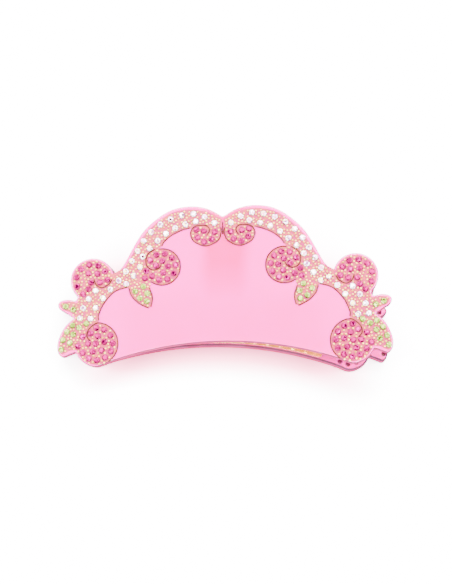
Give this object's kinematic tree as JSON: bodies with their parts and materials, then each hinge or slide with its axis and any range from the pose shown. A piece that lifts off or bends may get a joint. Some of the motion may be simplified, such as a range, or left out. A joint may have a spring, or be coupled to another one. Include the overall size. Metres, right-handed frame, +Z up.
{
  "type": "jaw hair clip",
  "caption": "Spring jaw hair clip of two glossy scalloped plates with crystal scrolls and leaves, hinged at the middle, with toothed combs inside.",
  "frame": {"origin": "centre of the footprint, on the table that the rear jaw's crystals rest on", "axes": "+X across the clip, +Y from the comb edge to the crest, +Z up out of the front face"},
  "size_m": [0.1053, 0.052, 0.0198],
  "materials": {
    "acetate": "polished translucent pale pink acetate sheet",
    "gold_line": "gold wire, softly aged",
    "white_stone": "iridescent white foil-backed crystal",
    "pink_stone": "rose pink foil-backed crystal",
    "green_stone": "peridot green foil-backed crystal",
    "gold_bead": "pale gold plated micro beads",
    "gold_metal": "gold plated spring brass",
    "spring_steel": "gold washed spring wire"
  },
  "bodies": {
    "rear_jaw": {"rear_plate": "acetate", "rear_gold_outline": "gold_line", "rear_white_crystals": "white_stone", "rear_pink_crystals": "pink_stone", "rear_green_crystals": "green_stone", "rear_gold_beads": "gold_bead", "rear_hinge_bracket": "gold_metal", "rear_comb": "gold_metal", "rear_bracket_rivets": "gold_metal", "rear_comb_rivets": "gold_metal", "hinge_pin": "gold_metal", "torsion_spring": "spring_steel"},
    "front_jaw": {"front_plate": "acetate", "front_gold_outline": "gold_line", "front_white_crystals": "white_stone", "front_pink_crystals": "pink_stone", "front_green_crystals": "green_stone", "front_gold_beads": "gold_bead", "front_hinge_bracket": "gold_metal", "front_comb": "gold_metal", "front_bracket_rivets": "gold_metal", "front_comb_rivets": "gold_metal"}
  },
  "joints": [
    {"name": "jaw_hinge", "type": "hinge", "parent": "rear_jaw", "child": "front_jaw", "pos_m": [0, 0.009, 0.00835], "axis": [-0.9992, -0.0096, -0.0384], "range_deg": [0, 24], "stiffness_Nm_per_rad": 0.05, "springref_deg": -28.65, "deforming": ["torsion_spring"]}
  ]
}
